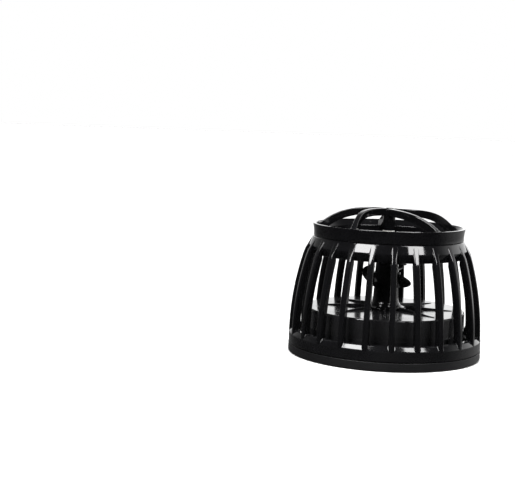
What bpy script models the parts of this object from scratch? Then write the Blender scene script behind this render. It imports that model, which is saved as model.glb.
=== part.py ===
"""Wet side of a magnetically driven wave maker pump, standing on its back plate.

The pump's axis is Z. The back plate rests on z = 0 and the outlet points up.
Driving dimensions are in millimetres; meshes are made in metres.
"""
import math

import bmesh
import bpy
from mathutils import Matrix, Vector

MM = 0.001
GAP = 0.3                     # clearance between neighbouring pieces
EDGE = 0.4                    # chamfer on moulded corners
FINE = 48                     # sides of the large turned pieces
MEDIUM = 24                   # sides of the hub-sized turned pieces
SMALL = 16                    # sides of the shaft-sized turned pieces

# Base plate and its twist-lock spigot
BASE_RADIUS = 55.0
PAD_PROUD = 0.4
BASE_TOP = 4.9
BASE_FOOT_CHAMFER = 0.5
FLOOR_TOP = 2.9
WELL_RADIUS = 46.2
SPIGOT_INNER = 46.6
SPIGOT_OUTER = 49.4
SPIGOT_TOP = 10.4
BOSS_RADIUS = 7.0
BOSS_TOP = 9.4
LUG_COUNT = 3
LUG_ANGLE = 12.0
LUG_RADIUS = 51.6
LUG_BOTTOM = 6.9
LUG_TOP = 8.3
TWIST_TO_OPEN = 20.0
PAD_COUNT = 3
PAD_RADIUS = 7.0
PAD_THICKNESS = 1.2
PAD_PITCH_RADIUS = 36.0
PAD_CHAMFER = 0.3

# Shaft and bearings
SHAFT_RADIUS = 1.6
SHAFT_BOTTOM = 2.2
SHAFT_TOP = 81.6
BUSH_RADIUS = 2.4
BUSH_BORE = SHAFT_RADIUS + GAP
BUSH_SEAT = BUSH_RADIUS + GAP
BUSH_SEAT_BOTTOM = 1.6
REAR_BUSH = (1.9, 9.1)                  # bottom and top of each bearing piece
REAR_WASHER = (BOSS_TOP + GAP, 10.7)
REAR_WASHER_RADIUS = 5.0
REAR_SLEEVE = (11.2, 21.2)
FRONT_SLEEVE = (57.1, 67.1)
FRONT_WASHER = (70.4, 70.9)
FRONT_WASHER_RADIUS = 3.4
FRONT_BUSH = (71.6, 81.9)

# Magnet rotor
DRUM_RADIUS = 45.2
DRUM_BOTTOM = 4.4
DRUM_TOP = 26.2
DRUM_WALL = 2.2
DRUM_BORE = 8.6
DRUM_SHOULDER = 0.7           # chamfer on the crown's edge
DRUM_SOCKET_BOTTOM = 9.0
DRUM_COVER = (4.5, 6.4)
IRON_RING = (21.6, 23.7)
IRON_RING_INNER = 14.0
IRON_RING_OUTER = 41.5
RIB_COUNT = 8
RIB_WIDTH = 1.3
RIB_INNER = 11.6
RIB_OUTER = 38.0
RIB_HEIGHT_INNER = 2.0
RIB_HEIGHT_OUTER = 0.5
MAGNET_COUNT = 8
MAGNET_RADIUS = 8.4
MAGNET_PITCH_RADIUS = 27.0
MAGNET_BOTTOM = 7.0
MAGNET_TOP = 21.3
COLUMN_BORE = 3.0
COLUMN_BOTTOM = 11.0
COLUMN_SHOULDER = 52.1
COLUMN_TOP = 67.7
COLUMN_NECK = 4.0
COLUMN_BODY = [(6.4, 52.1), (6.6, 47.4), (6.8, 39.8), (7.2, 32.5)]      # radius, height
COLUMN_FLARE = [(7.8, 29.6), (9.2, 27.8), (11.0, 27.2)]
LOWER_BOSS = [(7.4, 47.0), (7.9, 46.5), (7.9, 39.1), (7.4, 38.6), (7.2, 38.6), (7.0, 47.0)]
LOWER_BLADES = {
    "count": 3, "start": 265.0, "wrap": -110.0, "low": 37.6, "high": 50.0, "root": 8.6, "tip": 14.2,
    "thickness": 1.3, "fullness": 5.0, "steps": 7, "spans": 2,
}
MAIN_BOSS_RADIUS = 7.6
MAIN_BOSS = (COLUMN_SHOULDER + GAP, 66.0)
MAIN_BLADES = {
    "count": 4, "start": 30.0, "wrap": -76.0, "low": 53.8, "high": 62.6, "root": 8.2, "tip": 38.3,
    "thickness": 1.6, "fullness": 2.6, "steps": 8, "spans": 3,
}
NUT_DOME = [(3.6, 70.1), (5.2, 69.6), (6.5, 68.7), (7.2, 67.4), (7.2, 66.3)]
NUT_BORE = 2.2

# Cage
BAR_COUNT = 24
BAR_WIDTH = 3.2
BAR_DEPTH = 4.2
BAR_PHASE = -85.4             # angle of the first bar from +X, in degrees
BAR_FOOT = 11.0
BAR_FOOT_RADIUS = 54.9
BAR_SWEEP_RADIUS = 160.0
BAR_BEND = 58.0                # above this height the bars lean in like the collar's shoulder
BAR_LEAN = 22.5
BAR_TOP = 65.4
BAR_TIP = (43.7, 66.3)         # radius and height of the sloped tip's end
BAR_INNER_TOP = 61.0          # where the bar's inner edge runs into the collar
BAR_STEPS = 7
RING_TOP = 13.6               # sill of the windows
RING_INNER = 50.0
RING_OUTER = 54.9
RING_SHOULDER = [(53.3, RING_TOP), (54.9, 11.0)]      # radius, height
COLLAR_BOTTOM = 57.0
COLLAR_TOP = 66.8
COLLAR_OUTER = 45.3
COLLAR_INNER = 41.0
COLLAR_SHOULDER = [(43.3, COLLAR_TOP), (COLLAR_OUTER, 61.8)]
COLLAR_TAPER = [(COLLAR_OUTER, 61.4), (44.6, 60.0), (44.0, 58.5), (43.2, COLLAR_BOTTOM)]
GROOVE_HEIGHT_GAP = 0.5
GROOVE_ANGLE_GAP = 1.0

# Outlet guard
RIM_TOP = 74.1
RIM_RADIUS = 43.4
DUCT_RADIUS = 39.3
DUCT_BOTTOM = 58.6
RIM_FLARE = [(RIM_RADIUS - 0.2, RIM_TOP), (RIM_RADIUS, RIM_TOP - 0.3), (42.9, 71.4), (42.7, 69.2)]
RIM_INNER = [(DUCT_RADIUS, 60.0), (DUCT_RADIUS, 70.4), (40.2, 72.6), (42.0, RIM_TOP)]
ARM_COUNT = 5
ARM_PHASE = 25.0
ARM_SWEEP = -38.6
ARM_SWEEP_POWER = 1.41
ARM_THICKNESS = 2.8
ARM_FOOT_RADIUS = 40.0
ARM_RISE = 9.6
ARM_RISE_POWER = 3.6
ARM_END_RADIUS = 41.5
ARM_DEPTH_AT_FOOT = 6.8
ARM_DEPTH_AT_HUB = 4.2
ARM_DEPTH_POWER = 4.0
GUARD_HUB_RADIUS = 3.5
GUARD_HUB_BOTTOM = 71.2
GUARD_HUB_TOP = 84.1
GUARD_HUB_SEAT_TOP = 82.2


def clear_scene():
    for old in list(bpy.data.objects):
        bpy.data.objects.remove(old, do_unlink=True)


def plastic(name, color, roughness, metallic=0.0):
    material = bpy.data.materials.new(name)
    material.use_nodes = True
    shader = material.node_tree.nodes["Principled BSDF"]
    shader.inputs["Base Color"].default_value = (*color, 1.0)
    shader.inputs["Roughness"].default_value = roughness
    shader.inputs["Metallic"].default_value = metallic
    return material


def place(name, mesh, material, parent):
    """Make the bmesh into a named object, in metres, shaded smooth with sharp edges kept."""
    bmesh.ops.recalc_face_normals(mesh, faces=mesh.faces)
    bmesh.ops.scale(mesh, vec=(MM, MM, MM), verts=mesh.verts)
    data = bpy.data.meshes.new(name)
    mesh.to_mesh(data)
    mesh.free()
    data.shade_smooth()
    data.set_sharp_from_angle(angle=math.radians(30))
    data.materials.append(material)
    body = bpy.data.objects.new(name, data)
    bpy.context.scene.collection.objects.link(body)
    body.parent = parent
    return body


def as_tool(body):
    body.hide_render = True
    body.display_type = "WIRE"
    return body


def combine(body, tool, operation):
    step = body.modifiers.new(operation.lower(), "BOOLEAN")
    step.operation = operation
    step.solver = "EXACT"
    step.object = as_tool(tool)


def add_turned(mesh, outline, sides):
    """Spin an outline of (radius, height) points about Z. It closes unless it ends on the axis."""
    corners = [mesh.verts.new((radius, 0.0, height)) for radius, height in outline]
    edges = [mesh.edges.new(pair) for pair in zip(corners, corners[1:])]
    if outline[0][0] > 0.0:
        edges.append(mesh.edges.new((corners[-1], corners[0])))
    bmesh.ops.spin(
        mesh, geom=corners + edges, cent=(0, 0, 0), axis=(0, 0, 1),
        angle=math.tau, steps=sides, use_merge=True,
    )
    bmesh.ops.remove_doubles(mesh, verts=mesh.verts, dist=0.0005)


def turned(name, outline, sides, material, parent):
    mesh = bmesh.new()
    add_turned(mesh, outline, sides)
    return place(name, mesh, material, parent)


def tube(name, inner, outer, heights, material, parent, sides=SMALL):
    bottom, top = heights
    outline = [(outer, top), (outer, bottom), (inner, bottom), (inner, top)]
    return turned(name, outline, sides, material, parent)


def polar(radius, angle, height):
    return Vector((radius * math.cos(angle), radius * math.sin(angle), height))


def add_wedge(mesh, inner, outer, bottom, top, start, end, steps=6):
    """Add a ring segment between two angles, in degrees."""
    sections = []
    for step in range(steps + 1):
        angle = math.radians(start + (end - start) * step / steps)
        corners = [(inner, bottom), (outer, bottom), (outer, top), (inner, top)]
        sections.append([mesh.verts.new(polar(r, angle, z)) for r, z in corners])
    add_skin(mesh, sections)


def add_skin(mesh, sections):
    """Join a row of equal sections into one closed body."""
    count = len(sections[0])
    for one, two in zip(sections, sections[1:]):
        for side in range(count):
            after = (side + 1) % count
            mesh.faces.new((one[side], one[after], two[after], two[side]))
    mesh.faces.new(sections[0])
    mesh.faces.new(list(reversed(sections[-1])))


# ---------------------------------------------------------------- base

def base_plate(material, parent):
    underside = PAD_PROUD
    outline = [
        (BASE_RADIUS, BASE_TOP - EDGE), (BASE_RADIUS, underside + BASE_FOOT_CHAMFER),
        (BASE_RADIUS - BASE_FOOT_CHAMFER, underside), (0.0, underside),
    ]
    upper = [
        (0.0, BOSS_TOP), (BOSS_RADIUS - EDGE, BOSS_TOP), (BOSS_RADIUS, BOSS_TOP - EDGE),
        (BOSS_RADIUS, FLOOR_TOP), (WELL_RADIUS, FLOOR_TOP), (WELL_RADIUS, BASE_TOP),
        (SPIGOT_INNER, BASE_TOP), (SPIGOT_INNER, SPIGOT_TOP), (SPIGOT_OUTER - EDGE, SPIGOT_TOP),
        (SPIGOT_OUTER, SPIGOT_TOP - EDGE), (SPIGOT_OUTER, BASE_TOP), (BASE_RADIUS - EDGE, BASE_TOP),
    ]
    plate = bmesh.new()
    add_turned(plate, upper + outline, FINE)
    body = place("base_plate", plate, material, parent)
    combine(body, lock_lugs(material), "UNION")
    combine(body, base_recesses(material), "DIFFERENCE")
    return body


def lock_lugs(material):
    lugs = bmesh.new()
    for index in range(LUG_COUNT):
        middle = 360.0 / LUG_COUNT * index
        half = LUG_ANGLE / 2
        add_wedge(lugs, SPIGOT_OUTER - 1.0, LUG_RADIUS, LUG_BOTTOM, LUG_TOP, middle - half, middle + half)
    return place("lug_tool", lugs, material, None)


def pad_places():
    for index in range(PAD_COUNT):
        yield index + 1, math.radians(90 + 360.0 / PAD_COUNT * index)


def base_recesses(material):
    """The shaft bush's blind seat and the pads' round recesses."""
    cutter = bmesh.new()
    above = BOSS_TOP + 1.0
    seat = [(0.0, above), (BUSH_SEAT, above), (BUSH_SEAT, BUSH_SEAT_BOTTOM), (0.0, BUSH_SEAT_BOTTOM)]
    add_turned(cutter, seat, SMALL)
    top = PAD_THICKNESS + GAP
    for _, angle in pad_places():
        centre = polar(PAD_PITCH_RADIUS, angle, (top - 1.0) / 2)
        bmesh.ops.create_cone(
            cutter, cap_ends=True, segments=MEDIUM, radius1=PAD_RADIUS + GAP, radius2=PAD_RADIUS + GAP,
            depth=top + 1.0, matrix=Matrix.Translation(centre),
        )
    return place("recess_tool", cutter, material, None)


def rear_pads(material, parent):
    outline = [
        (0.0, PAD_THICKNESS), (PAD_RADIUS, PAD_THICKNESS), (PAD_RADIUS, PAD_CHAMFER),
        (PAD_RADIUS - PAD_CHAMFER, 0.0), (0.0, 0.0),
    ]
    for number, angle in pad_places():
        pad = turned(f"rear_pad_{number}", outline, MEDIUM, material, parent)
        pad.location = polar(PAD_PITCH_RADIUS, angle, 0.0) * MM


def shaft(material, parent):
    outline = [
        (0.0, SHAFT_TOP), (SHAFT_RADIUS - EDGE, SHAFT_TOP), (SHAFT_RADIUS, SHAFT_TOP - EDGE),
        (SHAFT_RADIUS, SHAFT_BOTTOM + EDGE), (SHAFT_RADIUS - EDGE, SHAFT_BOTTOM), (0.0, SHAFT_BOTTOM),
    ]
    return turned("shaft", outline, SMALL, material, parent)


# ---------------------------------------------------------------- rotor

def rotor_drum(material, parent):
    """A cup, open towards the base, with a ribbed crown and a central socket."""
    crown = DRUM_TOP - DRUM_WALL
    inner = DRUM_RADIUS - DRUM_WALL
    socket = DRUM_BORE + DRUM_WALL
    outline = [
        (DRUM_RADIUS - DRUM_SHOULDER, DRUM_TOP), (DRUM_RADIUS, DRUM_TOP - DRUM_SHOULDER),
        (DRUM_RADIUS, DRUM_BOTTOM + EDGE), (DRUM_RADIUS - EDGE, DRUM_BOTTOM), (inner, DRUM_BOTTOM),
        (inner, crown), (socket, crown), (socket, DRUM_SOCKET_BOTTOM), (DRUM_BORE, DRUM_SOCKET_BOTTOM),
        (DRUM_BORE, DRUM_TOP),
    ]
    body = turned("rotor_drum", outline, FINE, material, parent)
    combine(body, crown_ribs(material), "UNION")
    return body


def crown_ribs(material):
    """Radial ribs, tallest at the column's foot."""
    ribs = bmesh.new()
    half = RIB_WIDTH / 2
    for index in range(RIB_COUNT):
        angle = math.tau / RIB_COUNT * index
        turn = Matrix.Rotation(angle, 3, "Z")
        sections = []
        for radius, height in ((RIB_INNER, RIB_HEIGHT_INNER), (RIB_OUTER, RIB_HEIGHT_OUTER)):
            low = DRUM_TOP - 1.0
            high = DRUM_TOP + height
            corners = [(radius, -half, low), (radius, half, low),
                       (radius, half, high), (radius, -half, high)]
            sections.append([ribs.verts.new(turn @ Vector(corner)) for corner in corners])
        add_skin(ribs, sections)
    return place("rib_tool", ribs, material, None)


def magnets(material, parent):
    outline = [
        (0.0, MAGNET_TOP), (MAGNET_RADIUS - EDGE, MAGNET_TOP), (MAGNET_RADIUS, MAGNET_TOP - EDGE),
        (MAGNET_RADIUS, MAGNET_BOTTOM + EDGE), (MAGNET_RADIUS - EDGE, MAGNET_BOTTOM), (0.0, MAGNET_BOTTOM),
    ]
    for index in range(MAGNET_COUNT):
        magnet = turned(f"magnet_{index + 1}", outline, SMALL, material, parent)
        magnet.location = polar(MAGNET_PITCH_RADIUS, math.tau / MAGNET_COUNT * (index + 0.5), 0.0) * MM


def hub_column(material, parent):
    """The hollow column that carries the bearings inside and both propellers outside."""
    socket = DRUM_BORE - GAP
    foot = DRUM_TOP + GAP
    neck = [(COLUMN_NECK, COLUMN_TOP), (COLUMN_NECK, COLUMN_SHOULDER)]
    plug = [(COLUMN_FLARE[-1][0], foot), (socket, foot), (socket, COLUMN_BOTTOM)]
    bore = [(COLUMN_BORE, COLUMN_BOTTOM), (COLUMN_BORE, COLUMN_TOP)]
    outline = neck + COLUMN_BODY + COLUMN_FLARE + plug + bore
    return turned("hub_column", outline, MEDIUM, material, parent)


def add_screw_blades(mesh, count, start, wrap, low, high, root, tip, thickness, fullness, steps, spans):
    """Blades that climb from low to high while they wrap around the axis."""
    for index in range(count):
        first = start + 360.0 / count * index
        sections = []
        for step in range(steps + 1):
            along = 0.03 + 0.94 * step / steps
            reach = math.sqrt(1.0 - abs(2.0 * along - 1.0) ** fullness)
            angle = math.radians(first + wrap * along)
            height = low + (high - low) * along
            outer = root + (tip - root) * reach
            radii = [root - 1.2 + (outer - root + 1.2) * span / spans for span in range(spans + 1)]
            lower = [polar(radius, angle, height - thickness / 2) for radius in radii]
            upper = [polar(radius, angle, height + thickness / 2) for radius in reversed(radii)]
            sections.append([mesh.verts.new(point) for point in lower + upper])
        add_skin(mesh, sections)


def lower_propeller(material, parent):
    body = turned("lower_propeller", LOWER_BOSS, MEDIUM, material, parent)
    blades = bmesh.new()
    add_screw_blades(blades, **LOWER_BLADES)
    combine(body, place("lower_blade_tool", blades, material, None), "UNION")
    return body


def main_propeller(material, parent):
    bore = COLUMN_NECK + GAP
    bottom, top = MAIN_BOSS
    outline = [
        (MAIN_BOSS_RADIUS - EDGE, top), (MAIN_BOSS_RADIUS, top - EDGE), (MAIN_BOSS_RADIUS, bottom + EDGE),
        (MAIN_BOSS_RADIUS - EDGE, bottom), (bore, bottom), (bore, top),
    ]
    body = turned("main_propeller", outline, MEDIUM, material, parent)
    blades = bmesh.new()
    add_screw_blades(blades, **MAIN_BLADES)
    combine(body, place("main_blade_tool", blades, material, None), "UNION")
    return body


def propeller_nut(material, parent):
    bore = COLUMN_NECK + GAP
    top = NUT_DOME[0][1]
    bottom = NUT_DOME[-1][1]
    shelf = COLUMN_TOP + GAP
    inside = [(bore, bottom), (bore, shelf), (NUT_BORE, shelf), (NUT_BORE, top)]
    return turned("propeller_nut", NUT_DOME + inside, MEDIUM, material, parent)


# ---------------------------------------------------------------- cage

def bar_radius(height):
    """Outer edge of the bars: upright at the foot, swept inwards on one large arc, straight at the top."""
    rise = min(max(height, BAR_FOOT), BAR_BEND) - BAR_FOOT
    lean = max(height - BAR_BEND, 0.0) * math.tan(math.radians(BAR_LEAN))
    return BAR_FOOT_RADIUS - BAR_SWEEP_RADIUS + math.sqrt(BAR_SWEEP_RADIUS ** 2 - rise ** 2) - lean


def bar_outline():
    foot = BAR_FOOT - 2.0
    start = BAR_FOOT + 1.0
    heights = [start + (BAR_TOP - start) * step / BAR_STEPS for step in range(BAR_STEPS + 1)]
    outer = [(BAR_FOOT_RADIUS - EDGE, foot)] + [(bar_radius(height), height) for height in heights]
    tip_inner = BAR_TIP[0] - 2 * EDGE
    tip = [BAR_TIP, (tip_inner, BAR_TIP[1]), (tip_inner, BAR_INNER_TOP)]
    free = [height for height in reversed(heights) if height < COLLAR_BOTTOM + 2.0]
    inner = [(bar_radius(height) - BAR_DEPTH, height) for height in free]
    return outer + tip + inner + [(RING_INNER + 0.5, foot)]


def cage_bars(material):
    bars = bmesh.new()
    outline = bar_outline()
    half = BAR_WIDTH / 2
    for index in range(BAR_COUNT):
        turn = Matrix.Rotation(math.radians(BAR_PHASE + 360.0 / BAR_COUNT * index), 3, "Z")
        sections = []
        for side in (-half, half):
            sections.append([bars.verts.new(turn @ Vector((radius, side, z))) for radius, z in outline])
        add_skin(bars, sections)
    return place("bar_tool", bars, material, None)


def lock_grooves(material):
    """Grooves that the base's lugs turn in, each with a mouth to drop in through."""
    cutter = bmesh.new()
    half = LUG_ANGLE / 2 + GROOVE_ANGLE_GAP
    bottom = BASE_TOP + GAP
    for index in range(LUG_COUNT):
        locked = 360.0 / LUG_COUNT * index
        opened = locked - TWIST_TO_OPEN
        add_wedge(
            cutter, RING_INNER - 1.0, LUG_RADIUS + EDGE, LUG_BOTTOM - GROOVE_HEIGHT_GAP,
            LUG_TOP + GROOVE_HEIGHT_GAP, opened - half, locked + half, steps=8,
        )
    mouths = bmesh.new()
    for index in range(LUG_COUNT):
        opened = 360.0 / LUG_COUNT * index - TWIST_TO_OPEN
        add_wedge(
            mouths, RING_INNER - 1.1, LUG_RADIUS + GAP, bottom - 1.0, LUG_TOP + GAP,
            opened - half + 0.2, opened + half,
        )
    return place("groove_tool", cutter, material, None), place("mouth_tool", mouths, material, None)


def cage_shell(material, parent):
    """Foot ring, bars and collar in one moulding."""
    mesh = bmesh.new()
    foot = BASE_TOP + GAP
    add_turned(mesh, [
        *RING_SHOULDER, (RING_OUTER, foot + GAP), (RING_OUTER - GAP, foot), (RING_INNER, foot),
        (RING_INNER, RING_TOP),
    ], FINE)
    bore = [
        (COLLAR_INNER + EDGE, COLLAR_BOTTOM), (COLLAR_INNER, COLLAR_BOTTOM + 1.0),
        (COLLAR_INNER, COLLAR_TOP),
    ]
    add_turned(mesh, COLLAR_SHOULDER + COLLAR_TAPER + bore, FINE)
    body = place("cage_shell", mesh, material, parent)
    combine(body, cage_bars(material), "UNION")
    for cutter in lock_grooves(material):
        combine(body, cutter, "DIFFERENCE")
    return body


def add_guard_arm(mesh, first):
    """One spiral arm: a band on edge that climbs from the rim to the hub."""
    outermost = ARM_END_RADIUS
    innermost = GUARD_HUB_RADIUS - 0.5
    steps = 11
    half = ARM_THICKNESS / 2

    def centre(radius):
        inwards = max(ARM_FOOT_RADIUS - radius, 0.0) / ARM_FOOT_RADIUS
        return polar(radius, math.radians(first + ARM_SWEEP * inwards ** ARM_SWEEP_POWER), 0.0)

    sections = []
    for step in range(steps + 1):
        radius = outermost + (innermost - outermost) * step / steps
        share = min(radius / ARM_FOOT_RADIUS, 1.0)
        top = RIM_TOP - GAP + (ARM_RISE + GAP) * (1.0 - share ** ARM_RISE_POWER)
        deeper = (ARM_DEPTH_AT_FOOT - ARM_DEPTH_AT_HUB) * share ** ARM_DEPTH_POWER
        bottom = top - ARM_DEPTH_AT_HUB - deeper
        along = centre(radius - 0.2) - centre(radius + 0.2)
        across = Vector((-along.y, along.x, 0.0)).normalized() * half
        point = centre(radius)
        up = Vector((0.0, 0.0, 1.0))
        corners = [point - across + up * bottom, point + across + up * bottom,
                   point + across + up * top, point - across + up * top]
        sections.append([mesh.verts.new(corner) for corner in corners])
    add_skin(mesh, sections)


def outlet_guard(material, parent):
    """The outlet's rim and duct, with a domed guard of spiral arms and the front shaft boss."""
    spigot = COLLAR_INNER - GAP
    seat = COLLAR_TOP + GAP
    mesh = bmesh.new()
    plug = [(42.7, seat), (spigot, seat), (spigot, DUCT_BOTTOM), (DUCT_RADIUS + 0.5, DUCT_BOTTOM)]
    add_turned(mesh, RIM_FLARE + plug + RIM_INNER, FINE)
    add_turned(mesh, [
        (0.0, GUARD_HUB_TOP), (2.4, GUARD_HUB_TOP - 0.15), (GUARD_HUB_RADIUS, GUARD_HUB_TOP - 0.9),
        (GUARD_HUB_RADIUS, GUARD_HUB_BOTTOM), (BUSH_SEAT, GUARD_HUB_BOTTOM), (BUSH_SEAT, GUARD_HUB_SEAT_TOP),
        (0.0, GUARD_HUB_SEAT_TOP),
    ], SMALL)
    body = place("outlet_guard", mesh, material, parent)
    arms = bmesh.new()
    for index in range(ARM_COUNT):
        add_guard_arm(arms, ARM_PHASE + 360.0 / ARM_COUNT * index)
    combine(body, place("arm_tool", arms, material, None), "UNION")
    return body


def joint_axis(name):
    empty = bpy.data.objects.new(name, None)
    bpy.context.scene.collection.objects.link(empty)
    return empty


def build():
    clear_scene()
    black = plastic("black_plastic", (0.010, 0.010, 0.012), 0.22)
    silicone = plastic("grey_silicone", (0.05, 0.05, 0.055), 0.7)
    rubber = plastic("black_rubber", (0.02, 0.02, 0.02), 0.75)
    ceramic = plastic("white_ceramic", (0.82, 0.80, 0.76), 0.25)
    nickel = plastic("nickel_plate", (0.62, 0.60, 0.56), 0.3, 1.0)
    steel = plastic("zinc_plated_steel", (0.50, 0.50, 0.52), 0.4, 1.0)

    base_plate(black, None)
    rear_pads(silicone, None)
    shaft(ceramic, None)
    tube("rear_shaft_bush", BUSH_BORE, BUSH_RADIUS, REAR_BUSH, rubber, None)
    tube("rear_thrust_washer", BUSH_BORE, REAR_WASHER_RADIUS, REAR_WASHER, ceramic, None, MEDIUM)

    rotor = joint_axis("rotor_axis")
    rotor_drum(black, rotor)
    cover_inner = DRUM_BORE + DRUM_WALL + GAP
    cover_outer = DRUM_RADIUS - DRUM_WALL - GAP
    tube("drum_cover", cover_inner, cover_outer, DRUM_COVER, black, rotor, FINE)
    tube("back_iron_ring", IRON_RING_INNER, IRON_RING_OUTER, IRON_RING, steel, rotor, FINE)
    magnets(nickel, rotor)
    hub_column(black, rotor)
    tube("rear_bearing_sleeve", BUSH_BORE, COLUMN_BORE - GAP, REAR_SLEEVE, ceramic, rotor)
    tube("front_bearing_sleeve", BUSH_BORE, COLUMN_BORE - GAP, FRONT_SLEEVE, ceramic, rotor)
    lower_propeller(black, rotor)
    main_propeller(black, rotor)
    propeller_nut(black, rotor)

    cage = joint_axis("cage_axis")
    cage_shell(black, cage)
    outlet_guard(black, cage)
    tube("front_shaft_bush", BUSH_BORE, BUSH_RADIUS, FRONT_BUSH, rubber, cage)
    tube("front_thrust_washer", BUSH_BORE, FRONT_WASHER_RADIUS, FRONT_WASHER, ceramic, cage)


build()
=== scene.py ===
"""Finished look of the in-tank half of a wave maker pump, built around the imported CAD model.

The pump's axis is Z and its back plate stands on z = 0. Lengths are in millimetres until a
mesh is finished, and in metres after that.
"""
import math

import bmesh
import bpy
from mathutils import Matrix, Vector


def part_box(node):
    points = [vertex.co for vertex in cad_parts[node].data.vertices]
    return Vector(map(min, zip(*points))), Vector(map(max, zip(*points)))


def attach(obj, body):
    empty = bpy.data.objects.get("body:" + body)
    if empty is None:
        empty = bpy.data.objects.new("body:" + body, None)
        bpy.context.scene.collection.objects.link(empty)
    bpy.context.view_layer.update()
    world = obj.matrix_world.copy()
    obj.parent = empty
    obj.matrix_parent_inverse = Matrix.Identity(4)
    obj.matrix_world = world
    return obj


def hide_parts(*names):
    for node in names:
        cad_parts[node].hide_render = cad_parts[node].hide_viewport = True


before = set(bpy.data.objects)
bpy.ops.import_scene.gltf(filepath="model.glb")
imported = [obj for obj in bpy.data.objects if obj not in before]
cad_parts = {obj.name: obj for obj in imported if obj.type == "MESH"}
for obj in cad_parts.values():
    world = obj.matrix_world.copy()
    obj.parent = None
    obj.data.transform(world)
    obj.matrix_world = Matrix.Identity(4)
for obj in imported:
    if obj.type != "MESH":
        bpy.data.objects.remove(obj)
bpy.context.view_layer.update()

MM = 0.001
FINE = 144                    # sides of the large turned pieces
HUB = 72                      # sides of the hub-sized turned pieces
ARC_STEPS = 6                 # segments of a rounded corner
GAP = 0.3                     # clearance between neighbouring pieces


def extent(node):
    """Radius, bottom and top of a turned CAD node."""
    low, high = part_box(node)
    return high.x / MM, low.z / MM, high.z / MM


# Base plate and its twist-lock spigot
BASE_RADIUS, BASE_BOTTOM, SPIGOT_TOP = extent("base_plate")
BASE_TOP = 4.9
FLOOR_TOP = 2.9
WELL_RADIUS = 46.2
SPIGOT_INNER = 46.6
SPIGOT_OUTER = 49.4
BOSS_RADIUS = 7.0
BOSS_TOP = 9.4
BUSH_SEAT = 2.7
BUSH_SEAT_BOTTOM = 1.6
LUG_COUNT = 3
LUG_ANGLE = 12.0
LUG_RADIUS = 51.6
LUG_BOTTOM = 6.9
LUG_TOP = 8.3
TWIST_TO_OPEN = 20.0
PAD_COUNT = 3
PAD_RADIUS = 7.0
PAD_THICKNESS = extent("rear_pad_1")[2]
PAD_PITCH_RADIUS = 36.0

# Magnet rotor
DRUM_RADIUS, DRUM_BOTTOM, RIB_TOP = extent("rotor_drum")
DRUM_TOP = 26.2
DRUM_WALL = 2.2
DRUM_BORE = 8.6
DRUM_SOCKET_BOTTOM = 9.0
RIB_COUNT = 8
RIB_INNER = 11.6
RIB_OUTER = 38.0
COLUMN_FOOT_RADIUS, COLUMN_BOTTOM, COLUMN_TOP = extent("hub_column")
COLUMN_BORE = 3.0
COLUMN_NECK = 4.0
COLUMN_SHOULDER = 52.1
COLUMN_SIDE = [(6.4, COLUMN_SHOULDER, 0.4), (6.6, 47.4, 0), (6.8, 39.8, 0), (7.2, 32.5, 0)]
COLUMN_FLARE = [(7.8, 29.6, 0), (9.2, 27.8, 0.8), (COLUMN_FOOT_RADIUS, 27.2, 0.25)]
PROPELLER_BOSS = 7.6
MAIN_BOSS = (52.4, 66.0)
SMALL_BLADES = {
    "count": 3, "first": 265.0, "wrap": -110.0, "low": 37.6, "high": 50.0, "root": 8.6,
    "tip": 14.0, "thickness": 1.4, "fullness": 5.0,
}
MAIN_BLADES = {
    "count": 4, "first": 30.0, "wrap": -76.0, "low": 53.8, "high": 62.6, "root": 8.2,
    "tip": 38.1, "thickness": 1.7, "fullness": 2.6,
}
NUT_BOTTOM = 66.3
NUT_TOP = extent("propeller_nut")[2]
NUT_RADIUS = 7.2

# Cage
RING_OUTER, RING_BOTTOM, COLLAR_TOP = extent("cage_shell")
RING_INNER = 50.0
RING_TOP = 13.6
SHOULDER_BOTTOM = 11.0
SILL_RADIUS = 53.3
BAR_COUNT = 24
BAR_PHASE = -85.4             # angle of the first bar from +X, in degrees
BAR_WIDTH = 3.2
BAR_DEPTH = 4.2
BAR_FOOT_RADIUS = 54.9
BAR_SWEEP_RADIUS = 160.0
BAR_BEND = 58.0               # above this height the bars lean in like the collar's shoulder
BAR_LEAN = 22.5
BAR_OUTER_SPAN = (14.6, 59.4)
BAR_INNER_SPAN = (15.5, 55.2)
BAR_STEPS = 14
COLLAR_INNER = 41.0
COLLAR_OUTER = 45.3
COLLAR_BOTTOM = 57.0
GAP_COLUMNS = 4               # columns of faces between two bars, less one
CORNER = 0.45                 # rounding of the cage's moulded corners
BAR_ROUNDING = 1.2            # rounding of the bars' backs
BACK_TAPER = 0.3              # gain of the backs' rounding at each section from an end, as a share
TIP_SHARE = 0.2               # share of the rounding on a bar's tip
SEAM_SHARE = 0.1              # share of the rounding where a bar runs into the collar

# Outlet guard
RIM_RADIUS, DUCT_BOTTOM, GUARD_TOP = extent("outlet_guard")
RIM_TOP = 74.1
DUCT_RADIUS = 39.3
ARM_COUNT = 5
ARM_PHASE = 25.0
ARM_SWEEP = -38.6
ARM_SWEEP_POWER = 1.41
ARM_THICKNESS = 2.8
ARM_FOOT_RADIUS = 40.0
ARM_END_RADIUS = 41.5
ARM_RISE = 9.6
ARM_RISE_POWER = 3.6
ARM_DEPTH_AT_FOOT = 6.8
ARM_DEPTH_AT_HUB = 4.2
ARM_DEPTH_POWER = 4.0
GUARD_HUB_RADIUS = 3.5
GUARD_HUB_BOTTOM = 71.2


# ---------------------------------------------------------------- mesh tools

def polar(radius, angle, height):
    return Vector((radius * math.cos(angle), radius * math.sin(angle), height))


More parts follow.
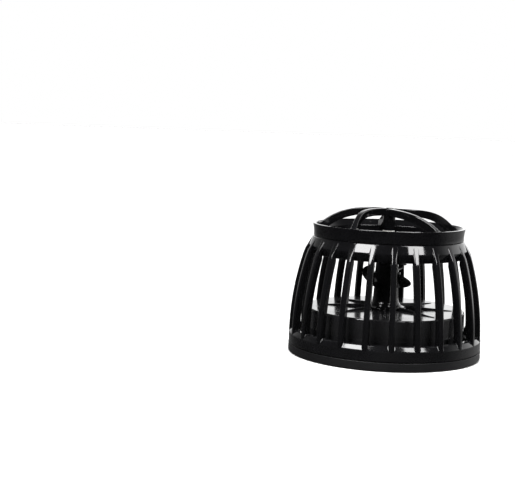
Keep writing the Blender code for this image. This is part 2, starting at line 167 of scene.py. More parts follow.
def rounded(outline, steps=ARC_STEPS):
    """Turn (radius, height, fillet) corners into points, each fillet becoming an arc."""
    points = []
    for index, (radius, height, fillet) in enumerate(outline):
        corner = Vector((radius, height))
        if not fillet:
            points.append(corner)
            continue
        before = (Vector(outline[index - 1][:2]) - corner).normalized()
        after = (Vector(outline[(index + 1) % len(outline)][:2]) - corner).normalized()
        half = before.angle(after) / 2
        centre = corner + (before + after).normalized() * (fillet / math.sin(half))
        start = corner + before * (fillet / math.tan(half)) - centre
        end = corner + after * (fillet / math.tan(half)) - centre
        turn = end.angle_signed(start)
        for step in range(steps + 1):
            points.append(centre + Matrix.Rotation(turn * step / steps, 2) @ start)
    return points


def add_turned(mesh, points, sides):
    """Spin (radius, height) points about Z. The outline closes unless it ends on the axis."""
    corners = [mesh.verts.new((radius, 0.0, height)) for radius, height in points]
    edges = [mesh.edges.new(pair) for pair in zip(corners, corners[1:])]
    if points[0][0] > 0.0:
        edges.append(mesh.edges.new((corners[-1], corners[0])))
    bmesh.ops.spin(
        mesh, geom=corners + edges, cent=(0, 0, 0), axis=(0, 0, 1),
        angle=math.tau, steps=sides, use_merge=True,
    )
    bmesh.ops.remove_doubles(mesh, verts=mesh.verts, dist=0.0005)


def add_skin(mesh, sections):
    """Join a row of equal sections into one closed body."""
    count = len(sections[0])
    for one, two in zip(sections, sections[1:]):
        for side in range(count):
            after = (side + 1) % count
            mesh.faces.new((one[side], one[after], two[after], two[side]))
    mesh.faces.new(sections[0])
    mesh.faces.new(list(reversed(sections[-1])))


def add_wedge(mesh, inner, outer, bottom, top, start, end, steps=12):
    """Add a ring segment between two angles, in degrees."""
    sections = []
    for step in range(steps + 1):
        angle = math.radians(start + (end - start) * step / steps)
        corners = [(inner, bottom), (outer, bottom), (outer, top), (inner, top)]
        sections.append([mesh.verts.new(polar(r, angle, z)) for r, z in corners])
    add_skin(mesh, sections)


def body_of_mesh(name, mesh):
    """Make a bmesh in millimetres into an object in metres."""
    bmesh.ops.recalc_face_normals(mesh, faces=mesh.faces)
    bmesh.ops.scale(mesh, vec=(MM, MM, MM), verts=mesh.verts)
    data = bpy.data.meshes.new(name)
    mesh.to_mesh(data)
    mesh.free()
    body = bpy.data.objects.new(name, data)
    bpy.context.scene.collection.objects.link(body)
    return body


def round_edges(body, width):
    """Round the edges by their bevel weights: a weight of 1 gives the full width."""
    step = body.modifiers.new("rounding", "BEVEL")
    step.width = width * MM
    step.segments = 4
    step.limit_method = "WEIGHT"
    step.use_clamp_overlap = False


def weigh_corners(mesh, weights, share):
    """Give every edge that turns sharply, and has no bevel weight yet, this share."""
    sharp = math.radians(25.0)
    for edge in mesh.edges:
        two_sided = len(edge.link_faces) == 2
        if not edge[weights] and two_sided and edge.calc_face_angle() > sharp:
            edge[weights] = share


def combine(body, tool, operation):
    step = body.modifiers.new(operation.lower(), "BOOLEAN")
    step.operation = operation
    step.solver = "EXACT"
    step.object = tool


def settle(body, sharp=38.0):
    """Put the modifiers' result in the mesh, drop the tools, and shade it smooth between its creases."""
    tools = [step.object for step in body.modifiers if step.type == "BOOLEAN"]
    bpy.context.view_layer.update()
    graph = bpy.context.evaluated_depsgraph_get()
    data = bpy.data.meshes.new_from_object(body.evaluated_get(graph), depsgraph=graph)
    body.modifiers.clear()
    body.data = data
    for tool in tools:
        bpy.data.objects.remove(tool, do_unlink=True)
    data.shade_smooth()
    data.set_sharp_from_angle(angle=math.radians(sharp))
    normals = body.modifiers.new("flat_faces_first", "WEIGHTED_NORMAL")
    normals.keep_sharp = True
    return body


def dress(body, material, slot, rides_on, *nodes):
    """Give a finished piece its material and its CAD body, and hide the CAD nodes that it stands for."""
    body.data.materials.clear()
    body.data.materials.append(material)
    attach(body, rides_on)
    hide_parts(*nodes)
    return body


def turned_body(name, outline, sides):
    mesh = bmesh.new()
    add_turned(mesh, rounded(outline), sides)
    return body_of_mesh(name, mesh)


# ---------------------------------------------------------------- base

def back_plate():
    channel = (47.0, 49.0, 0.3)      # shallow ring moulded into the back face
    outline = [
        (0.0, BUSH_SEAT_BOTTOM, 0), (BUSH_SEAT, BUSH_SEAT_BOTTOM, 0), (BUSH_SEAT, BOSS_TOP, 0.3),
        (BOSS_RADIUS, BOSS_TOP, 0.5), (BOSS_RADIUS, FLOOR_TOP, 1.5), (WELL_RADIUS, FLOOR_TOP, 0.6),
        (WELL_RADIUS, BASE_TOP, 0.15), (SPIGOT_INNER, BASE_TOP, 0.15), (SPIGOT_INNER, SPIGOT_TOP, 0.4),
        (SPIGOT_OUTER, SPIGOT_TOP, 0.5), (SPIGOT_OUTER, BASE_TOP, 0.3), (BASE_RADIUS, BASE_TOP, 0.2),
        (BASE_RADIUS, BASE_BOTTOM, 0.4), (channel[1], BASE_BOTTOM, 0.1),
        (channel[1], BASE_BOTTOM + channel[2], 0.1), (channel[0], BASE_BOTTOM + channel[2], 0.1),
        (channel[0], BASE_BOTTOM, 0.1), (0.0, BASE_BOTTOM, 0),
    ]
    body = turned_body("back_plate", outline, FINE)
    combine(body, lock_lugs(), "UNION")
    combine(body, pad_recesses(), "DIFFERENCE")
    return settle(body, sharp=12.0)


def lock_lugs():
    lugs = bmesh.new()
    for index in range(LUG_COUNT):
        middle = 360.0 / LUG_COUNT * index
        half = LUG_ANGLE / 2
        add_wedge(lugs, SPIGOT_OUTER - 1.0, LUG_RADIUS, LUG_BOTTOM, LUG_TOP,
                  middle - half, middle + half)
    return body_of_mesh("lug_tool", lugs)


def pad_centres():
    return [polar(PAD_PITCH_RADIUS, math.radians(90 + 360.0 / PAD_COUNT * index), 0.0)
            for index in range(PAD_COUNT)]


def pad_recesses():
    """Round recesses for the pads, with three ejector marks between them."""
    cutter = bmesh.new()
    top = PAD_THICKNESS + GAP
    for centre in pad_centres():
        bmesh.ops.create_cone(
            cutter, cap_ends=True, segments=HUB, radius1=PAD_RADIUS + GAP, radius2=PAD_RADIUS + GAP,
            depth=top + 1.0, matrix=Matrix.Translation(centre + Vector((0, 0, (top - 1.0) / 2))),
        )
        bmesh.ops.create_cone(
            cutter, cap_ends=True, segments=24, radius1=2.5, radius2=2.5, depth=1.0,
            matrix=Matrix.Translation(-0.5 * centre + Vector((0, 0, BASE_BOTTOM + 0.12 - 0.5))),
        )
    return body_of_mesh("recess_tool", cutter)


def glass_pad(number, centre):
    """A silicone pad whose face has concentric ribs that grip the glass."""
    mesh = bmesh.new()
    face = [(PAD_RADIUS, 0.0, 0.35)]
    for rib in range(5):
        radius = PAD_RADIUS - 0.9 - 1.2 * rib
        face += [(radius, 0.0, 0.08), (radius - 0.12, 0.25, 0.08), (radius - 0.48, 0.25, 0.08),
                 (radius - 0.6, 0.0, 0.08)]
    outline = [(0.0, PAD_THICKNESS, 0), (PAD_RADIUS, PAD_THICKNESS, 0.2), *face, (0.0, 0.0, 0)]
    add_turned(mesh, rounded(outline, steps=3), HUB)
    bmesh.ops.translate(mesh, verts=mesh.verts, vec=centre)
    return settle(body_of_mesh(f"glass_pad_{number}", mesh))


# ---------------------------------------------------------------- rotor

def magnet_drum():
    """A cup, open towards the base, with a ribbed crown and a central socket."""
    crown = DRUM_TOP - DRUM_WALL
    inner = DRUM_RADIUS - DRUM_WALL
    socket = DRUM_BORE + DRUM_WALL
    outline = [
        (DRUM_BORE, DRUM_TOP, 0.3), (DRUM_RADIUS, DRUM_TOP, 0.8), (DRUM_RADIUS, DRUM_BOTTOM, 0.4),
        (inner, DRUM_BOTTOM, 0.2), (inner, crown, 0.5), (socket, crown, 0.5),
        (socket, DRUM_SOCKET_BOTTOM, 0.3), (DRUM_BORE, DRUM_SOCKET_BOTTOM, 0.3),
    ]
    body = turned_body("magnet_drum", outline, FINE)
    combine(body, crown_ribs(), "UNION")
    return settle(body, sharp=12.0)


def crown_ribs():
    """Radial ribs with round backs, tallest and widest at the column's foot."""
    ribs = bmesh.new()
    steps = 10
    for index in range(RIB_COUNT):
        turn = Matrix.Rotation(math.tau / RIB_COUNT * index, 3, "Z")
        sections = []
        for step in range(steps + 1):
            share = step / steps
            radius = RIB_INNER + (RIB_OUTER - RIB_INNER) * share
            height = (RIB_TOP - DRUM_TOP) * (1.0 - share) + 0.3 * share
            half = 0.65 - 0.2 * share
            back = [(half * math.cos(angle), DRUM_TOP + height * (0.55 + 0.45 * math.sin(angle)))
                    for angle in (math.pi * step / 8 for step in range(9))]
            corners = [(half, DRUM_TOP - 1.0), *back, (-half, DRUM_TOP - 1.0)]
            sections.append([ribs.verts.new(turn @ Vector((radius, side, z))) for side, z in corners])
        add_skin(ribs, sections)
    return body_of_mesh("rib_tool", ribs)


def column():
    """The hollow column that carries the bearings inside and both propellers outside."""
    socket = DRUM_BORE - GAP
    foot = DRUM_TOP + GAP
    outline = [
        (COLUMN_BORE, COLUMN_TOP, 0.2), (COLUMN_NECK, COLUMN_TOP, 0.3),
        (COLUMN_NECK, COLUMN_SHOULDER, 0.3),
        *COLUMN_SIDE, *COLUMN_FLARE, (COLUMN_FOOT_RADIUS, foot, 0), (socket, foot, 0),
        (socket, COLUMN_BOTTOM, 0.4), (COLUMN_BORE, COLUMN_BOTTOM, 0.3),
    ]
    return settle(turned_body("column", outline, HUB), sharp=30.0)


def add_blade(mesh, first, wrap, low, high, root, tip, thickness, fullness, steps=26, spans=9):
    """One screw blade. It is thickest at mid chord near the root, and its edges are thin and round."""
    sections = []
    for step in range(steps + 1):
        along = 0.03 + 0.94 * step / steps
        edge = abs(2.0 * along - 1.0)
        reach = math.sqrt(1.0 - edge ** fullness)
        angle = math.radians(first + wrap * along)
        height = low + (high - low) * along
        outer = root + (tip - root) * reach
        inside = root - 1.2
        body = thickness * (1.0 - 0.65 * edge ** 3)
        lower = []
        upper = []
        for span in range(spans + 1):
            share = span / spans
            radius = inside + (outer - inside) * share
            half = body * (1.0 - 0.35 * share) / 2
            lower.append(polar(radius, angle, height - half))
            upper.append(polar(radius, angle, height + half))
        nose = [polar(outer + body * 0.16, angle, height + body * 0.2 * side) for side in (-1, 0, 1)]
        sections.append([mesh.verts.new(point) for point in lower + nose + list(reversed(upper))])
    add_skin(mesh, sections)


def screw(name, boss, sides, count, first, **blade):
    body = turned_body(name, boss, sides)
    blades = bmesh.new()
    for index in range(count):
        add_blade(blades, first + 360.0 / count * index, **blade)
    combine(body, body_of_mesh("blade_tool", blades), "UNION")
    return settle(body, sharp=32.0)


def small_impeller():
    boss = [(7.02, 47.0, 0.1), (7.9, 47.0, 0.4), (7.9, 38.6, 0.4), (7.2, 38.6, 0.1)]
    return screw("small_impeller", boss, HUB, **SMALL_BLADES)


def main_impeller():
    bore = COLUMN_NECK + GAP
    bottom, top = MAIN_BOSS
    boss = [
        (bore, top, 0.2), (PROPELLER_BOSS, top, 0.5), (PROPELLER_BOSS, bottom, 0.5),
        (bore, bottom, 0.2),
    ]
    return screw("main_impeller", boss, HUB, **MAIN_BLADES)


def impeller_nut():
    """A domed nut with six grip flutes."""
    bore = COLUMN_NECK + GAP
    shelf = COLUMN_TOP + GAP
    outline = [
        (2.2, NUT_TOP, 0.2), (3.6, NUT_TOP, 0.6), (6.4, NUT_BOTTOM + 2.6, 1.2),
        (NUT_RADIUS, NUT_BOTTOM + 1.1, 0.4), (NUT_RADIUS, NUT_BOTTOM, 0.2), (bore, NUT_BOTTOM, 0.1),
        (bore, shelf, 0), (2.2, shelf, 0),
    ]
    body = turned_body("impeller_nut", outline, HUB)
    flutes = bmesh.new()
    for index in range(6):
        centre = polar(NUT_RADIUS + 1.1, math.tau / 6 * index, NUT_BOTTOM + 1.5)
        bmesh.ops.create_cone(
            flutes, cap_ends=True, segments=24, radius1=1.8, radius2=1.8, depth=8.0,
            matrix=Matrix.Translation(centre),
        )
    combine(body, body_of_mesh("flute_tool", flutes), "DIFFERENCE")
    return settle(body)


# ---------------------------------------------------------------- cage

def bar_radius(height):
    """Outer edge of the bars: upright at the foot, swept inwards on one large arc, then straight."""
    rise = min(height, BAR_BEND) - SHOULDER_BOTTOM
    lean = max(height - BAR_BEND, 0.0) * math.tan(math.radians(BAR_LEAN))
    sweep = BAR_SWEEP_RADIUS - math.sqrt(BAR_SWEEP_RADIUS ** 2 - rise ** 2)
    return BAR_FOOT_RADIUS - sweep - lean


def column_angle(radius, bar, place):
    """Angle of a line of vertices. Places 0 and 1 are a bar's flat sides, the rest lie between bars."""
    pitch = math.tau / BAR_COUNT
    side = math.asin(BAR_WIDTH / 2 / radius)
    share = (place - 1) / (GAP_COLUMNS + 1)
    offset = -side if place == 0 else side + (pitch - 2 * side) * share
    return math.radians(BAR_PHASE) + pitch * bar + offset


def add_hoop(mesh, outline, open_sides):
    """A ring of faces with a hole under each bar: open_sides are the outline's sides left out there.

    Returns the two columns of vertices at each bar.
    """
    places = GAP_COLUMNS + 2
    columns = []
    for bar in range(BAR_COUNT):
        for place in range(places):
            columns.append([mesh.verts.new(polar(r, column_angle(r, bar, place), z))
                            for r, z in outline])
    for index, one in enumerate(columns):
        two = columns[(index + 1) % len(columns)]
        for side in range(len(outline)):
            if index % places == 0 and side in open_sides:
                continue
            after = (side + 1) % len(outline)
            mesh.faces.new((one[side], one[after], two[after], two[side]))
    return [(columns[bar * places], columns[bar * places + 1]) for bar in range(BAR_COUNT)]


def bar_sections():
    """Outer, middle and inner (radius, height) points of a bar, from its foot to its tip."""
    sections = []
    for step in range(BAR_STEPS + 1):
        share = step / BAR_STEPS
        high, low = (start + (end - start) * share for start, end in (BAR_OUTER_SPAN, BAR_INNER_SPAN))
        outer = Vector((bar_radius(high), high))
        inner = Vector((bar_radius(low) - BAR_DEPTH, low))
        sections.append((outer, (outer + inner) / 2, inner))
    return sections


def add_bar(mesh, weights, bar, foot, head):
    """Bridge the hole in the foot ring to the hole in the collar.

    foot and head hold the outer, middle and inner vertices. The edges of the bar's back get
    the full bevel weight, less towards the ends.
    """
    sides = []
    for place in (0, 1):
        line = [foot[place]]
        for section in bar_sections():
            line.append([mesh.verts.new(polar(r, column_angle(r, bar, place), z)) for r, z in section])
        sides.append(line + [head[place]])
    left, right = sides
    for step in range(len(left) - 1):
        for line in (left, right):
            for part in (0, 1):
                mesh.faces.new((line[step][part], line[step][part + 1],
                                line[step + 1][part + 1], line[step + 1][part]))
        for part in (0, 2):
            mesh.faces.new((left[step][part], right[step][part],
                            right[step + 1][part], left[step + 1][part]))
        from_end = min(step, len(left) - 2 - step)
        if from_end:
            for line in (left, right):
                back = mesh.edges.get((line[step][0], line[step + 1][0]))
                back[weights] = min(BACK_TAPER * (1 + from_end), 1.0)
    for line in (left, right):
        mesh.edges.get((line[-2][0], line[-1][0]))[weights] = TIP_SHARE
        for pair in zip(line[-1], line[-1][1:]):
            mesh.edges.get(pair)[weights] = SEAM_SHARE


def lock_grooves():
    """Grooves that the base's lugs turn in, and the mouths that they drop in through."""
    grooves = bmesh.new()
    mouths = bmesh.new()
    half = LUG_ANGLE / 2 + 1.0
    for index in range(LUG_COUNT):
        locked = 360.0 / LUG_COUNT * index
        opened = locked - TWIST_TO_OPEN
        add_wedge(grooves, RING_INNER - 1.0, LUG_RADIUS + 0.4, LUG_BOTTOM - 0.5, LUG_TOP + 0.5,
                  opened - half, locked + half)
        add_wedge(mouths, RING_INNER - 1.1, LUG_RADIUS + 0.3, RING_BOTTOM - 1.0, LUG_TOP + 0.3,
                  opened - half + 0.2, opened + half)
    return body_of_mesh("groove_tool", grooves), body_of_mesh("mouth_tool", mouths)


def strainer_cage():
    """Foot ring, bars and collar in one moulding, with every corner rounded."""
    ring = [
        (SILL_RADIUS, RING_TOP), (RING_OUTER, SHOULDER_BOTTOM), (RING_OUTER, RING_BOTTOM),
        (RING_INNER, RING_BOTTOM), (RING_INNER, RING_TOP),
    ]
    collar = [
        (43.3, COLLAR_TOP), (43.68, 65.8), (COLLAR_OUTER, 61.8), (44.5, 59.2), (43.2, COLLAR_BOTTOM),
        (COLLAR_INNER, COLLAR_BOTTOM), (COLLAR_INNER, COLLAR_TOP),
    ]
    mesh = bmesh.new()
    weights = mesh.edges.layers.float.new("bevel_weight_edge")
    feet = add_hoop(mesh, ring, open_sides=(0, 4))
    heads = add_hoop(mesh, collar, open_sides=(1, 2))
    for bar in range(BAR_COUNT):
        foot = [(line[1], line[0], line[4]) for line in feet[bar]]
        head = [(line[1], line[2], line[3]) for line in heads[bar]]
        add_bar(mesh, weights, bar, foot, head)
    bmesh.ops.recalc_face_normals(mesh, faces=mesh.faces)
    weigh_corners(mesh, weights, CORNER / BAR_ROUNDING)
    body = body_of_mesh("strainer_cage", mesh)
    round_edges(body, BAR_ROUNDING)
    for cutter in lock_grooves():
        combine(body, cutter, "DIFFERENCE")
    return settle(body)


# ---------------------------------------------------------------- outlet guard

def arm_centre(first, radius):
    inwards = max(ARM_FOOT_RADIUS - radius, 0.0) / ARM_FOOT_RADIUS
    return polar(radius, math.radians(first + ARM_SWEEP * inwards ** ARM_SWEEP_POWER), 0.0)


def add_guard_arm(mesh, first):
    """One spiral arm: a band on edge with round corners, which climbs from the rim to the hub."""
    outermost = ARM_END_RADIUS
    innermost = GUARD_HUB_RADIUS - 1.2
    steps = 44
    corner = 0.6
    sections = []
    for step in range(steps + 1):
        radius = outermost + (innermost - outermost) * step / steps
        share = min(radius / ARM_FOOT_RADIUS, 1.0)
        top = RIM_TOP - GAP + (ARM_RISE + GAP) * (1.0 - share ** ARM_RISE_POWER)
        depth = ARM_DEPTH_AT_HUB + (ARM_DEPTH_AT_FOOT - ARM_DEPTH_AT_HUB) * share ** ARM_DEPTH_POWER
        foot = max(share - 0.9, 0.0) * 10.0
        half = ARM_THICKNESS / 2 * (1.0 + 0.25 * foot ** 2)
        along = arm_centre(first, radius - 0.2) - arm_centre(first, radius + 0.2)
        across = Vector((-along.y, along.x, 0.0)).normalized()
        point = arm_centre(first, radius)
        ring = []
        for side, level, start in ((1, 1, 0), (-1, 1, 90), (-1, -1, 180), (1, -1, 270)):
            for turn in (0, 30, 60, 90):
                angle = math.radians(start + turn)
                sideways = side * (half - corner) + corner * math.cos(angle)
                upright = level * (depth / 2 - corner) + corner * math.sin(angle)
                raised = Vector((0, 0, top - depth / 2 + upright))
                ring.append(mesh.verts.new(point + across * sideways + raised))
        sections.append(ring)
    add_skin(mesh, sections)


def guard():
    """The outlet's rim and duct, with a domed guard of spiral arms and the front shaft boss."""
    spigot = COLLAR_INNER - GAP
    seat = COLLAR_TOP + GAP
    hub_seat = 82.2
    body = turned_body("guard", [
        (DUCT_RADIUS, 70.4, 0.4), (42.0, RIM_TOP, 0.3), (RIM_RADIUS, RIM_TOP, 0.22), (42.9, 71.4, 6.0),
        (42.7, 69.2, 0), (42.75, seat, 0.25), (spigot, seat, 0), (spigot, DUCT_BOTTOM, 0.2),
        (DUCT_RADIUS, DUCT_BOTTOM, 0.7),
    ], FINE)
    boss = turned_body("boss_tool", [
        (0.0, GUARD_TOP, 0), (1.6, GUARD_TOP, 2.0), (GUARD_HUB_RADIUS, 83.3, 0.6),
        (GUARD_HUB_RADIUS, GUARD_HUB_BOTTOM, 0.3), (BUSH_SEAT, GUARD_HUB_BOTTOM, 0.15),
        (BUSH_SEAT, hub_seat, 0), (0.0, hub_seat, 0),
    ], HUB)
    arms = bmesh.new()
    for index in range(ARM_COUNT):
        add_guard_arm(arms, ARM_PHASE + 360.0 / ARM_COUNT * index)
    combine(body, boss, "UNION")
    combine(body, body_of_mesh("arm_tool", arms), "UNION")
    return settle(body)


# ---------------------------------------------------------------- materials

class Look:
    """A Principled material, built up from texture nodes in the object's own coordinates, in metres."""

    def __init__(self, name, metallic=0.0, specular=0.5):
        self.material = bpy.data.materials.new(name)
        self.material.use_nodes = True
        self.tree = self.material.node_tree
        self.shader = self.tree.nodes["Principled BSDF"]
        self.shader.inputs["Metallic"].default_value = metallic
        self.shader.inputs["Specular IOR Level"].default_value = specular
        self.place = self.tree.nodes.new("ShaderNodeTexCoord").outputs["Object"]

    def join(self, source, target):
        self.tree.links.new(source, target)

    def noise(self, scale, detail=2.0, stretch=(1.0, 1.0, 1.0)):
        mapping = self.tree.nodes.new("ShaderNodeMapping")
        mapping.inputs["Scale"].default_value = stretch
        texture = self.tree.nodes.new("ShaderNodeTexNoise")
        texture.inputs["Scale"].default_value = scale
        texture.inputs["Detail"].default_value = detail
        self.join(self.place, mapping.inputs["Vector"])
        self.join(mapping.outputs["Vector"], texture.inputs["Vector"])
        return texture.outputs[0]

    def rings(self, scale):
        """Fine concentric lines round the axis, as a lathe or a brush leaves them."""
        texture = self.tree.nodes.new("ShaderNodeTexWave")
        texture.wave_type = "RINGS"
        texture.rings_direction = "Z"
        texture.inputs["Scale"].default_value = scale
        texture.inputs["Distortion"].default_value = 1.5
        self.join(self.place, texture.inputs["Vector"])
        return texture.outputs["Fac"]

    def edges(self):
        """Corners that stick out, as 0 to 1."""
        return self.spread(self.tree.nodes.new("ShaderNodeNewGeometry").outputs["Pointiness"],
                           0.0, 1.0, 0.53, 0.6)

    def spread(self, source, low, high, start=0.3, end=0.7):
        step = self.tree.nodes.new("ShaderNodeMapRange")
        for name, value in (("From Min", start), ("From Max", end), ("To Min", low), ("To Max", high)):
            step.inputs[name].default_value = value
        self.join(source, step.inputs["Value"])
        return step.outputs["Result"]

    def plus(self, one, two):
        step = self.tree.nodes.new("ShaderNodeMath")
        step.operation = "ADD"
        self.join(one, step.inputs[0])
        self.join(two, step.inputs[1])
        return step.outputs[0]

    def blend(self, share, one, two):
        step = self.tree.nodes.new("ShaderNodeMix")
        step.data_type = "RGBA"
        for socket, value in ((step.inputs[6], one), (step.inputs[7], two)):
            if isinstance(value, tuple):
                socket.default_value = (*value, 1.0)
            else:
                self.join(value, socket)
        self.join(share, step.inputs["Factor"])
        return step.outputs[2]

    def color(self, source):
        self.join(source, self.shader.inputs["Base Color"])

    def roughness(self, source):
        self.join(source, self.shader.inputs["Roughness"])

    def bump(self, *layers):
        """Stack (height, depth in millimetres) layers of bump."""
        below = None
        for height, depth in layers:
            step = self.tree.nodes.new("ShaderNodeBump")
            step.inputs["Strength"].default_value = 1.0
            step.inputs["Distance"].default_value = depth * MM
            self.join(height, step.inputs["Height"])
            if below:
                self.join(below, step.inputs["Normal"])
            below = step.outputs["Normal"]
        self.join(below, self.shader.inputs["Normal"])


def glossy_plastic():
    """Polished black moulding: faint waviness, a little haze and hairline scuffs."""
    look = Look("polished_black_plastic", specular=0.42)
    haze = look.spread(look.noise(45.0, 3.0), 0.05, 0.12)
    hairline = look.spread(look.noise(900.0, 1.0, (1.0, 0.04, 0.9)), 0.0, 0.10, 0.66, 0.74)
    look.roughness(look.plus(haze, hairline))
    body = look.blend(look.noise(120.0), (0.0018, 0.0018, 0.002), (0.0032, 0.0032, 0.0036))
    look.color(look.blend(look.edges(), body, (0.012, 0.012, 0.013)))
    look.bump((look.noise(130.0, 1.0), 0.006), (look.noise(900.0, 2.0), 0.0012))
    return look.material


def ring_plastic():
    """The same black moulding where fingers grip it: a semi-gloss grain."""
    look = Look("semi_gloss_black_plastic", specular=0.3)
    haze = look.spread(look.noise(60.0, 3.0), 0.20, 0.30)
    look.roughness(look.plus(haze, look.spread(look.noise(1800.0, 2.0), 0.0, 0.05)))
    body = look.blend(look.noise(90.0), (0.002, 0.002, 0.0022), (0.004, 0.004, 0.0045))
    look.color(look.blend(look.edges(), body, (0.014, 0.014, 0.015)))
    look.bump((look.noise(2600.0, 2.0), 0.004), (look.noise(140.0, 1.0), 0.004))
    return look.material


def satin_plastic():
    """Spark-eroded black moulding: an even fine grain that spreads the reflections."""
    look = Look("satin_black_plastic", specular=0.3)
    haze = look.spread(look.noise(60.0, 3.0), 0.36, 0.46)
    look.roughness(look.plus(haze, look.spread(look.noise(1800.0, 2.0), 0.0, 0.05)))
    body = look.blend(look.noise(90.0), (0.0035, 0.0035, 0.0038), (0.0055, 0.0055, 0.006))
    look.color(body)
    look.bump((look.noise(3200.0, 2.0), 0.008), (look.noise(140.0, 1.0), 0.004))
    return look.material


def rotor_plastic(name, dark, light, specular):
    """Glossy black of the rotor, with flow lines that run round the axis."""
    look = Look(name, specular=specular)
    look.roughness(look.plus(look.spread(look.noise(70.0, 3.0), 0.07, 0.16),
                             look.spread(look.noise(1400.0), 0.0, 0.04)))
    look.color(look.blend(look.noise(150.0), dark, light))
    look.bump((look.rings(150.0), 0.0012), (look.noise(160.0, 1.0), 0.006))
    return look.material


def soft_rubber(name, dark, light, grain):
    look = Look(name, specular=0.35)
    look.roughness(look.spread(look.noise(400.0, 3.0), 0.55, 0.75))
    look.color(look.blend(look.spread(look.noise(grain, 3.0), 0.0, 1.0), dark, light))
    look.bump((look.noise(grain * 3.0, 2.0), 0.01))
    return look.material


def ceramic():
    look = Look("ground_alumina", specular=0.5)
    look.roughness(look.spread(look.noise(2500.0, 3.0), 0.18, 0.34))
    look.color(look.blend(look.noise(500.0, 4.0), (0.80, 0.78, 0.73), (0.87, 0.86, 0.83)))
    look.bump((look.noise(3500.0, 2.0), 0.002), (look.rings(900.0), 0.0008))
    return look.material


def metal(name, dark, light, rough):
    look = Look(name, metallic=1.0)
    look.roughness(look.plus(look.spread(look.noise(300.0, 3.0), rough, rough + 0.12),
                             look.spread(look.rings(700.0), 0.0, 0.06)))
    look.color(look.blend(look.noise(90.0, 4.0), dark, light))
    look.bump((look.rings(700.0), 0.001), (look.noise(2000.0), 0.001))
    return look.material


def paint_node(name, material):
    """A CAD node that keeps its shape gets a finished material."""
    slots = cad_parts[name].data.materials
    slots.clear()
    slots.append(material)


# ---------------------------------------------------------------- the object

def build_object():
    glossy = glossy_plastic()
    satin = satin_plastic()
    rotor = rotor_plastic(
        "rotor_black_plastic", (0.002, 0.002, 0.0022), (0.004, 0.004, 0.0044), 0.25)
    # The magnet housing gets a lighter copy of the rotor's black: painted light, a raised tone that
    # stands in for the reflected light on the drum's side.
    housing_painted_light = rotor_plastic(
        "magnet_housing_plastic_painted_light", (0.006, 0.006, 0.0066), (0.010, 0.010, 0.0105), 0.42)
    silicone = soft_rubber("clear_grey_silicone", (0.045, 0.046, 0.05), (0.065, 0.066, 0.07), 260.0)
    rubber = soft_rubber("black_nitrile", (0.014, 0.014, 0.014), (0.024, 0.024, 0.024), 500.0)
    alumina = ceramic()
    nickel = metal("nickel_plate", (0.58, 0.56, 0.52), (0.67, 0.65, 0.61), 0.16)
    steel = metal("zinc_plated_steel", (0.44, 0.45, 0.48), (0.56, 0.57, 0.59), 0.28)

    dress(back_plate(), satin, "black_plastic", "base", "base_plate")
    for number, centre in enumerate(pad_centres(), 1):
        dress(glass_pad(number, centre), silicone, "grey_silicone", "base", f"rear_pad_{number}")

    dress(magnet_drum(), housing_painted_light, "black_plastic", "rotor", "rotor_drum")
    dress(column(), rotor, "black_plastic", "rotor", "hub_column")
    dress(small_impeller(), rotor, "black_plastic", "rotor", "lower_propeller")
    dress(main_impeller(), rotor, "black_plastic", "rotor", "main_propeller")
    dress(impeller_nut(), rotor, "black_plastic", "rotor", "propeller_nut")

    cage = dress(strainer_cage(), glossy, "black_plastic", "cage", "cage_shell")
    cage.data.materials.append(ring_plastic())
    for face in cage.data.polygons:
        face.material_index = int(face.center.z < (SHOULDER_BOTTOM - 0.05) * MM)
    dress(guard(), glossy, "black_plastic", "cage", "outlet_guard")

    for name, material in (
        ("shaft", alumina), ("rear_thrust_washer", alumina), ("front_thrust_washer", alumina),
        ("rear_bearing_sleeve", alumina), ("front_bearing_sleeve", alumina),
        ("rear_shaft_bush", rubber), ("front_shaft_bush", rubber),
        ("drum_cover", housing_painted_light), ("back_iron_ring", steel),
        *((node, nickel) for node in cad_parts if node.startswith("magnet_")),
    ):
        paint_node(name, material)


# ---------------------------------------------------------------- stage

WHITE = 1.0                   # brightness of the room as the camera sees it
TABLE_TONE = 0.45
OVERHEAD_LEVEL = 6.6
ROOM_DEPTH = (-0.3, 0.5)      # from the dark front to the white back wall, as a direction's Y
ROOM_WIDTH = (-0.85, 0.1)     # from the shaded left to the open right, as a direction's X
ROOM_HEIGHT = (0.25, 0.7)     # from the walls to the dark ceiling, as a direction's Z
FRONT_LEVEL = 0.02
BACK_LEVEL = 1.9
LEFT_SHARE = 0.12
CEILING_SHARE = 0.03
FLOOR_SHARE = 0.2
FLOOR_HEIGHT = (-0.12, 0.0)   # from the floor to the walls, as a direction's Z
TABLE_SIZE = 20000.0
SOFTBOXES = (                 # name, azimuth, elevation, distance, width, height, radiance
    ("softbox_left", -38.0, 44.0, 0.85, 0.36, 0.46, 24.0),
    ("softbox_right", 45.0, 45.0, 0.85, 0.30, 0.46, 19.0),
)
OBJECT_MIDDLE = Vector((0.0, 0.0, 0.045))
LENS = 79.8
CAMERA_PLACE = (0.0, -0.65552, 0.12824)
CAMERA_TURN = (6.56, -5.743, 2.03)    # heading, pitch and roll, in degrees


def table():
    """A plain white table, without an edge in sight."""
    mesh = bmesh.new()
    bmesh.ops.create_grid(mesh, x_segments=1, y_segments=1, size=TABLE_SIZE)
    top = body_of_mesh("table", mesh)
    material = bpy.data.materials.new("white_table")
    material.use_nodes = True
    shader = material.node_tree.nodes["Principled BSDF"]
    shader.inputs["Roughness"].default_value = 0.9
    shader.inputs["Specular IOR Level"].default_value = 0.0
    shader.inputs["Base Color"].default_value = (TABLE_TONE, TABLE_TONE, TABLE_TONE, 1.0)
    top.data.materials.append(material)
    top.visible_glossy = False
    top.location.z = -0.05 * MM      # clear of the pads' faces


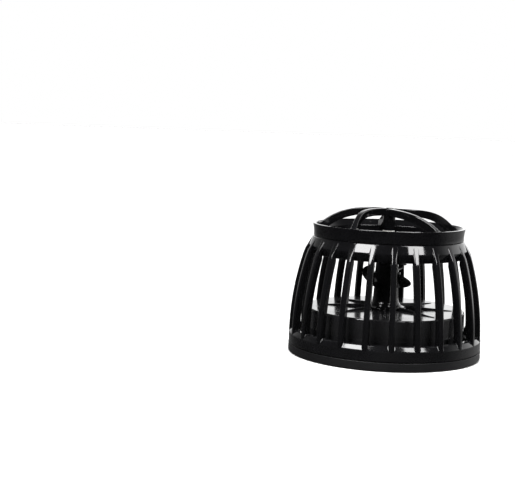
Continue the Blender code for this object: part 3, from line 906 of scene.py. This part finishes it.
def surroundings():
    """A white room to the eye. The object sees a white wall behind it and a dark room in front."""
    world = bpy.data.worlds.new("studio")
    bpy.context.scene.world = world
    world.use_nodes = True
    tree = world.node_tree
    backdrop = tree.nodes["Background"]
    backdrop.inputs["Color"].default_value = (1.0, 1.0, 1.0, 1.0)
    place = tree.nodes.new("ShaderNodeTexCoord")
    axes = tree.nodes.new("ShaderNodeSeparateXYZ")
    tree.links.new(place.outputs["Generated"], axes.inputs[0])

    def fade(axis, start, end, low, high):
        step = tree.nodes.new("ShaderNodeMapRange")
        step.interpolation_type = "SMOOTHSTEP"
        for name, value in (("From Min", start), ("From Max", end), ("To Min", low), ("To Max", high)):
            step.inputs[name].default_value = value
        tree.links.new(axes.outputs[axis], step.inputs["Value"])
        return step.outputs["Result"]

    level = fade("Y", *ROOM_DEPTH, FRONT_LEVEL, BACK_LEVEL)
    for share in (fade("X", *ROOM_WIDTH, LEFT_SHARE, 1.0), fade("Z", *ROOM_HEIGHT, 1.0, CEILING_SHARE),
                  fade("Z", *FLOOR_HEIGHT, FLOOR_SHARE, 1.0)):
        step = tree.nodes.new("ShaderNodeMath")
        step.operation = "MULTIPLY"
        tree.links.new(level, step.inputs[0])
        tree.links.new(share, step.inputs[1])
        level = step.outputs[0]
    path = tree.nodes.new("ShaderNodeLightPath")
    strength = tree.nodes.new("ShaderNodeMix")
    tree.links.new(path.outputs["Is Camera Ray"], strength.inputs["Factor"])
    tree.links.new(level, strength.inputs[2])
    strength.inputs[3].default_value = WHITE
    tree.links.new(strength.outputs[0], backdrop.inputs["Strength"])


def overhead():
    """Even light from straight above, which keeps the table white and leaves no reflection."""
    lamp = bpy.data.lights.new("overhead", "SUN")
    lamp.energy = OVERHEAD_LEVEL
    lamp.angle = math.radians(15.0)
    source = bpy.data.objects.new("overhead", lamp)
    bpy.context.scene.collection.objects.link(source)
    source.visible_glossy = False


def softbox(name, azimuth, elevation, distance, width, height, radiance):
    """A rectangular light aimed at the middle of the object. Azimuth 0 is the front."""
    lamp = bpy.data.lights.new(name, "AREA")
    lamp.shape = "RECTANGLE"
    lamp.size = width
    lamp.size_y = height
    lamp.energy = radiance * math.pi * width * height
    box = bpy.data.objects.new(name, lamp)
    bpy.context.scene.collection.objects.link(box)
    turn = math.radians(azimuth)
    rise = math.radians(elevation)
    aim = Vector((math.sin(turn) * math.cos(rise), -math.cos(turn) * math.cos(rise), math.sin(rise)))
    box.location = aim * distance + OBJECT_MIDDLE
    box.rotation_euler = aim.to_track_quat("Z", "Y").to_euler()
    box.visible_camera = False


def camera():
    """Eye level a little above the outlet, from the front."""
    data = bpy.data.cameras.new("camera")
    data.lens = LENS
    data.sensor_width = 36.0
    data.clip_start = 0.01
    data.clip_end = 100.0
    view = bpy.data.objects.new("camera", data)
    bpy.context.scene.collection.objects.link(view)
    heading, pitch, roll = (math.radians(angle) for angle in CAMERA_TURN)
    turn = (Matrix.Rotation(heading, 4, "Z") @ Matrix.Rotation(math.radians(90) + pitch, 4, "X")
            @ Matrix.Rotation(roll, 4, "Z"))
    view.matrix_world = Matrix.Translation(CAMERA_PLACE) @ turn
    bpy.context.scene.camera = view


def stage():
    table()
    surroundings()
    overhead()
    for settings in SOFTBOXES:
        softbox(*settings)
    camera()
    bpy.context.scene.view_settings.view_transform = "Standard"


build_object()
stage()
